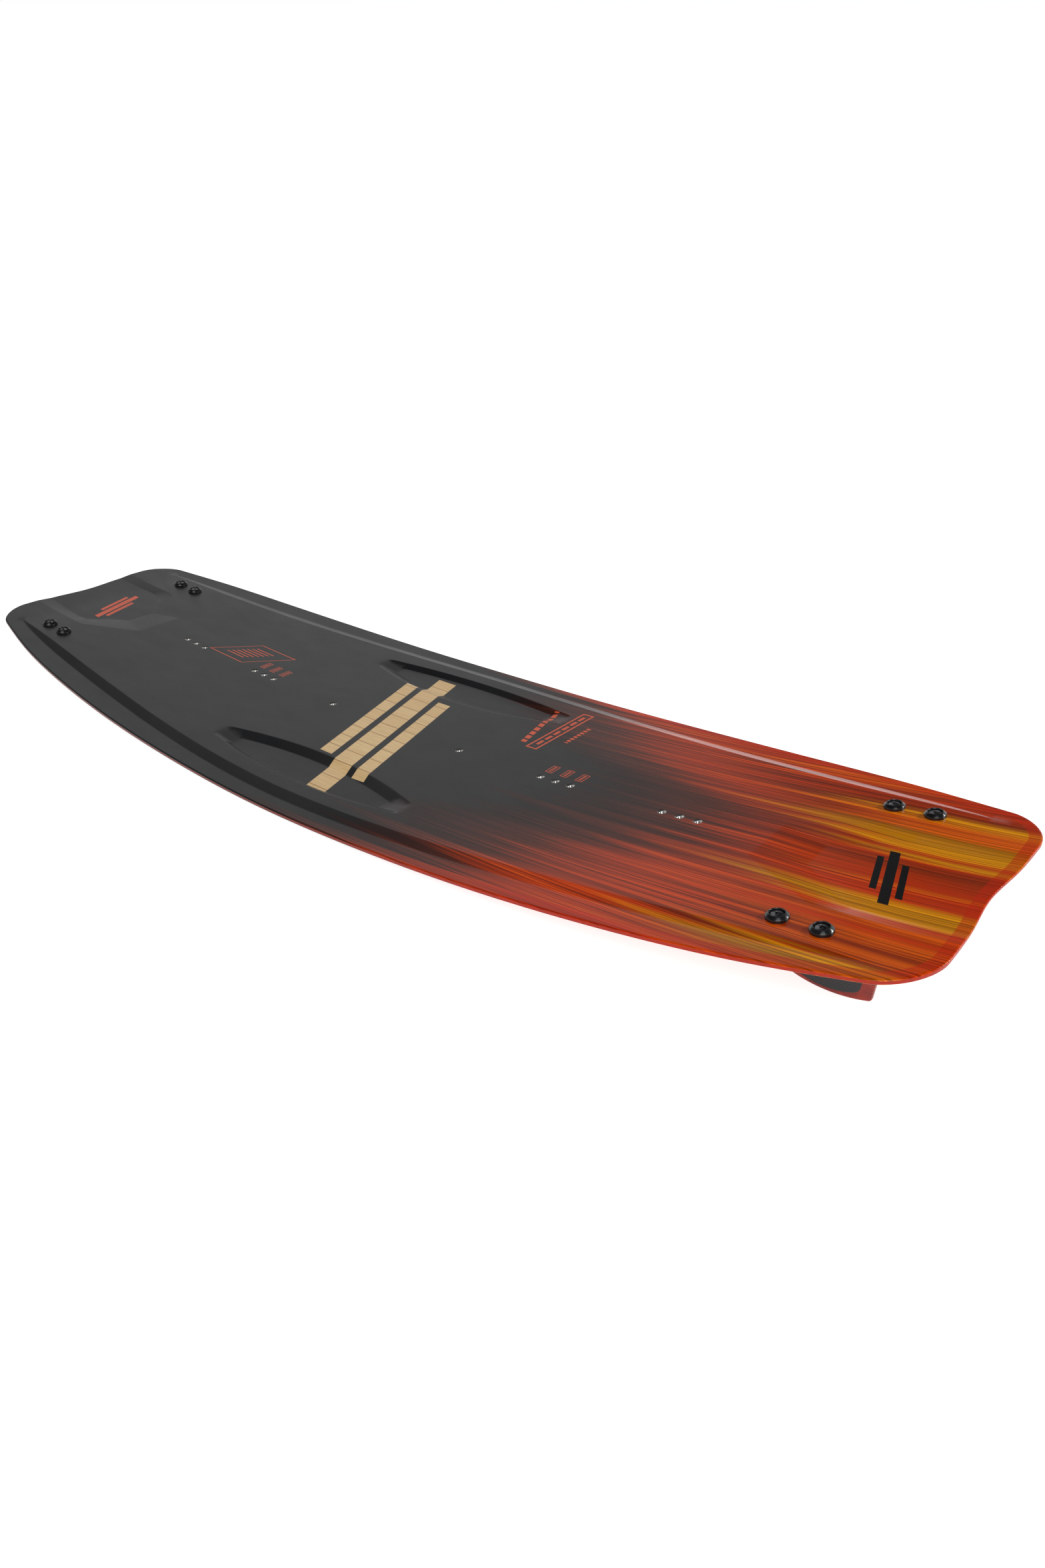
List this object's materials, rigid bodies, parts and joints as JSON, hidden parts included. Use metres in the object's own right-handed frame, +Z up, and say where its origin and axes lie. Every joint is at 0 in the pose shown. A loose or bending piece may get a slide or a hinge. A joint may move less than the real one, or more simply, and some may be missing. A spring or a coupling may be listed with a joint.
{
  "type": "kiteboard",
  "caption": "Twin-tip kiteboard with a rockered wood-core deck, sunk deck reliefs, scooped tips, threaded pad inserts and bolt-on fins.",
  "frame": {"origin": "on the ground under the middle of the board, which stands on its fins", "axes": "+X along the board to the streaked tip, +Y across to the back rail, +Z up through the deck"},
  "size_m": [1.38, 0.415, 0.0611],
  "materials": {
    "deck_print": "satin graphite, running into glossy lengthwise orange and red streaks at one tip",
    "base_print": "gloss",
    "fibre_laminate": "resin-soaked glass cloth",
    "paulownia": "pale, straight grain, glued strips",
    "sidewall_plastic": "satin, slightly translucent",
    "plug_plastic": "matte",
    "fin_brass": "knurled",
    "stainless": "turned",
    "fin_panel": "diagonal cloth weave",
    "fin_resin": "translucent glass-resin, satin",
    "washer_plastic": "satin",
    "screw_steel": "dark, polished"
  },
  "bodies": {
    "board": {"top_sheet": "deck_print", "top_laminate": "fibre_laminate", "wood_core": "paulownia", "bottom_laminate": "fibre_laminate", "base_sheet": "base_print", "front_rail_sidewall": "sidewall_plastic", "back_rail_sidewall": "sidewall_plastic", "left_tip_sidewall": "sidewall_plastic", "right_tip_sidewall": "sidewall_plastic", "left_outer_inserts": "stainless", "left_inner_inserts": "stainless", "handle_inserts": "stainless", "right_inner_inserts": "stainless", "right_outer_inserts": "stainless", "front_left_fin_plugs": "plug_plastic", "front_left_inner_washer": "washer_plastic", "front_left_outer_washer": "washer_plastic", "front_right_fin_plugs": "plug_plastic", "front_right_inner_washer": "washer_plastic", "front_right_outer_washer": "washer_plastic", "back_left_fin_plugs": "plug_plastic", "back_left_inner_washer": "washer_plastic", "back_left_outer_washer": "washer_plastic", "back_right_fin_plugs": "plug_plastic", "back_right_inner_washer": "washer_plastic", "back_right_outer_washer": "washer_plastic"},
    "front_left_fin": {"front_left_fin": "fin_resin", "front_left_fin_panels": "fin_panel", "front_left_fin_inserts": "fin_brass"},
    "front_left_inner_screw": {"front_left_inner_screw": "screw_steel"},
    "front_left_outer_screw": {"front_left_outer_screw": "screw_steel"},
    "front_right_fin": {"front_right_fin": "fin_resin", "front_right_fin_panels": "fin_panel", "front_right_fin_inserts": "fin_brass"},
    "front_right_inner_screw": {"front_right_inner_screw": "screw_steel"},
    "front_right_outer_screw": {"front_right_outer_screw": "screw_steel"},
    "back_left_fin": {"back_left_fin": "fin_resin", "back_left_fin_panels": "fin_panel", "back_left_fin_inserts": "fin_brass"},
    "back_left_inner_screw": {"back_left_inner_screw": "screw_steel"},
    "back_left_outer_screw": {"back_left_outer_screw": "screw_steel"},
    "back_right_fin": {"back_right_fin": "fin_resin", "back_right_fin_panels": "fin_panel", "back_right_fin_inserts": "fin_brass"},
    "back_right_inner_screw": {"back_right_inner_screw": "screw_steel"},
    "back_right_outer_screw": {"back_right_outer_screw": "screw_steel"}
  },
  "joints": [
    {"name": "front_left_inner_screw_turn", "type": "hinge", "parent": "board", "child": "front_left_inner_screw", "pos_m": [-0.56194, -0.108, 0.03921], "axis": [0.1222, 0, 0.9925], "range_deg": [0, 3240]},
    {"name": "front_left_outer_screw_turn", "type": "hinge", "parent": "board", "child": "front_left_outer_screw", "pos_m": [-0.59906, -0.108, 0.04378], "axis": [0.1222, 0, 0.9925], "range_deg": [0, 3240]},
    {"name": "front_left_fin_draw_off", "type": "slide", "parent": "board", "child": "front_left_fin", "axis": [-0.1222, 0, -0.9925], "range_m": [0, 0.009]},
    {"name": "front_right_inner_screw_turn", "type": "hinge", "parent": "board", "child": "front_right_inner_screw", "pos_m": [0.56194, -0.108, 0.03921], "axis": [-0.1222, 0, 0.9925], "range_deg": [0, 3240]},
    {"name": "front_right_outer_screw_turn", "type": "hinge", "parent": "board", "child": "front_right_outer_screw", "pos_m": [0.59906, -0.108, 0.04378], "axis": [-0.1222, 0, 0.9925], "range_deg": [0, 3240]},
    {"name": "front_right_fin_draw_off", "type": "slide", "parent": "board", "child": "front_right_fin", "axis": [0.1222, 0, -0.9925], "range_m": [0, 0.009]},
    {"name": "back_left_inner_screw_turn", "type": "hinge", "parent": "board", "child": "back_left_inner_screw", "pos_m": [-0.56194, 0.108, 0.03921], "axis": [0.1222, 0, 0.9925], "range_deg": [0, 3240]},
    {"name": "back_left_outer_screw_turn", "type": "hinge", "parent": "board", "child": "back_left_outer_screw", "pos_m": [-0.59906, 0.108, 0.04378], "axis": [0.1222, 0, 0.9925], "range_deg": [0, 3240]},
    {"name": "back_left_fin_draw_off", "type": "slide", "parent": "board", "child": "back_left_fin", "axis": [-0.1222, 0, -0.9925], "range_m": [0, 0.009]},
    {"name": "back_right_inner_screw_turn", "type": "hinge", "parent": "board", "child": "back_right_inner_screw", "pos_m": [0.56194, 0.108, 0.03921], "axis": [-0.1222, 0, 0.9925], "range_deg": [0, 3240]},
    {"name": "back_right_outer_screw_turn", "type": "hinge", "parent": "board", "child": "back_right_outer_screw", "pos_m": [0.59906, 0.108, 0.04378], "axis": [-0.1222, 0, 0.9925], "range_deg": [0, 3240]},
    {"name": "back_right_fin_draw_off", "type": "slide", "parent": "board", "child": "back_right_fin", "axis": [0.1222, 0, -0.9925], "range_m": [0, 0.009]}
  ],
  "couplings": [
    {"joint": "front_left_inner_screw_turn", "follows": "front_left_fin_draw_off", "rad_per_m": 6283.2},
    {"joint": "front_left_outer_screw_turn", "follows": "front_left_fin_draw_off", "rad_per_m": 6283.2},
    {"joint": "front_right_inner_screw_turn", "follows": "front_right_fin_draw_off", "rad_per_m": 6283.2},
    {"joint": "front_right_outer_screw_turn", "follows": "front_right_fin_draw_off", "rad_per_m": 6283.2},
    {"joint": "back_left_inner_screw_turn", "follows": "back_left_fin_draw_off", "rad_per_m": 6283.2},
    {"joint": "back_left_outer_screw_turn", "follows": "back_left_fin_draw_off", "rad_per_m": 6283.2},
    {"joint": "back_right_inner_screw_turn", "follows": "back_right_fin_draw_off", "rad_per_m": 6283.2},
    {"joint": "back_right_outer_screw_turn", "follows": "back_right_fin_draw_off", "rad_per_m": 6283.2}
  ]
}
